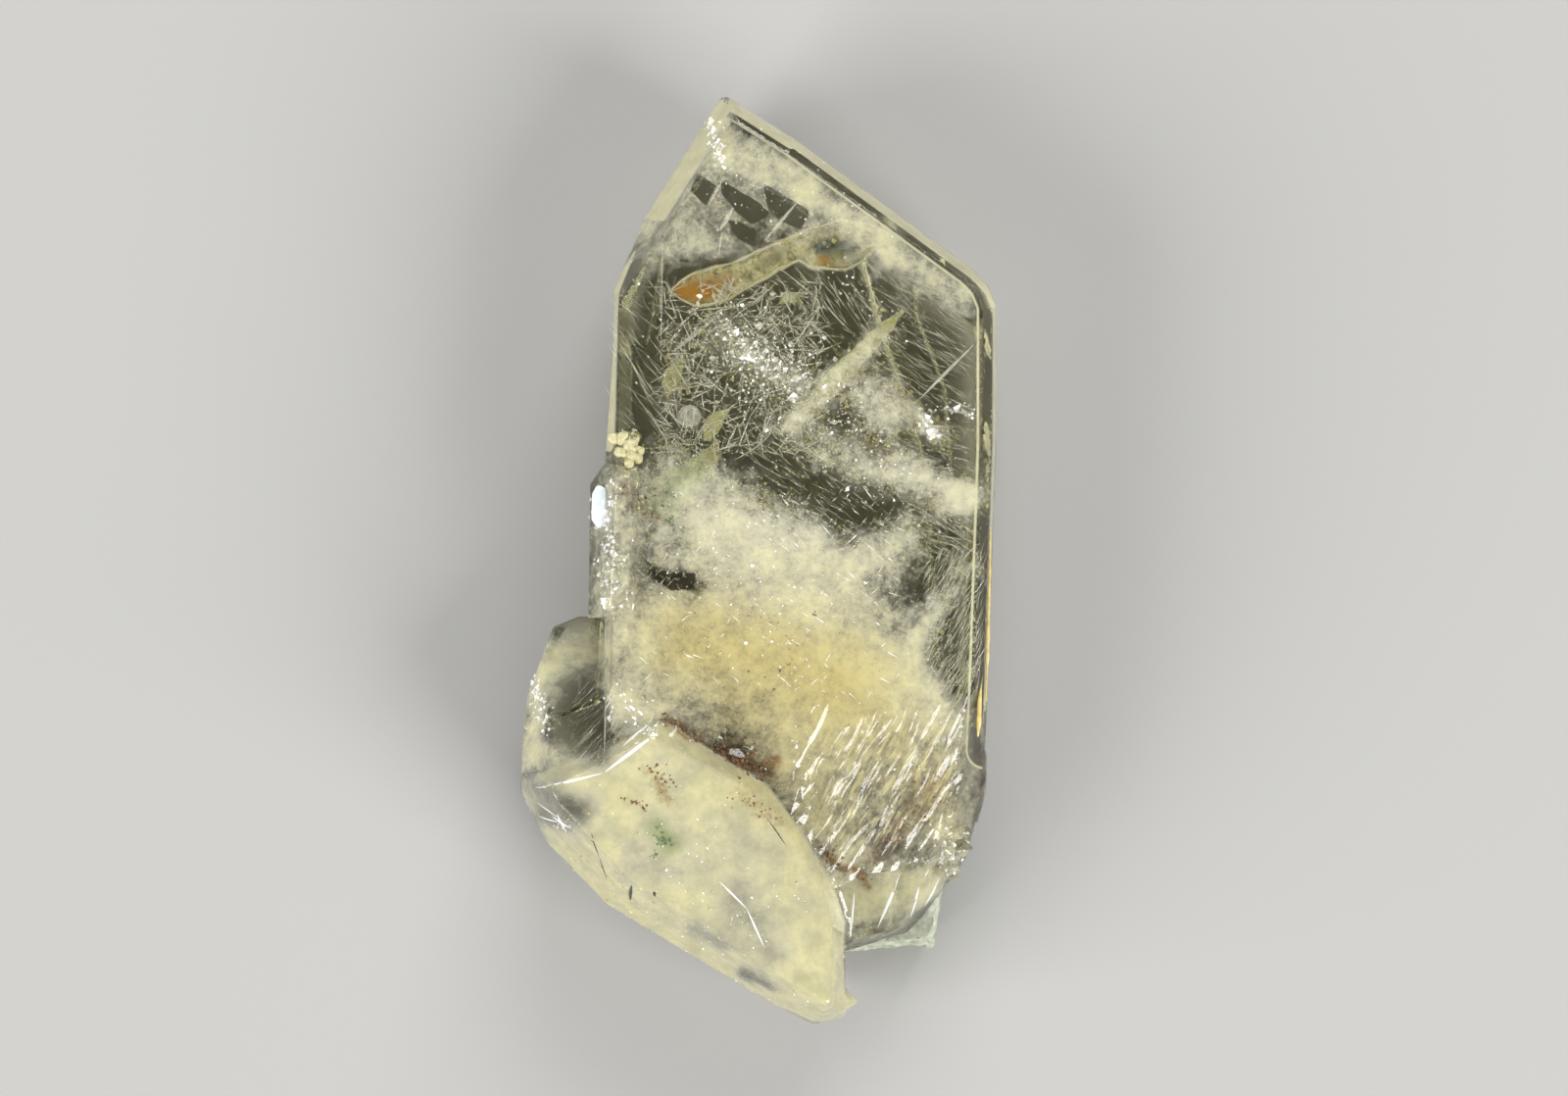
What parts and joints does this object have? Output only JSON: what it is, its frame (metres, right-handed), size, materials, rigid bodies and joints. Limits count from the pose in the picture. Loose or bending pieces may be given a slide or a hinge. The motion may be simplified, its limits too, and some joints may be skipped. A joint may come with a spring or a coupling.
{
  "type": "montebrasite crystal specimen",
  "caption": "Loose montebrasite specimen: a clear, thick tabular crystal with a roof-like top, a milky crystal grown across its lower left, and a grey matrix remnant.",
  "frame": {"origin": "on the surface that the specimen lies on, under the middle of its outline", "axes": "+Z out of the broad front face, +Y along the tall crystal to its pointed top, +X to the right as seen from the front"},
  "size_m": [0.0268, 0.0522, 0.0136],
  "materials": {
    "montebrasite": "polished",
    "matrix": "matte"
  },
  "bodies": {
    "root": {"montebrasite_crystal": "montebrasite", "matrix_remnant": "matrix"}
  },
  "joints": []
}
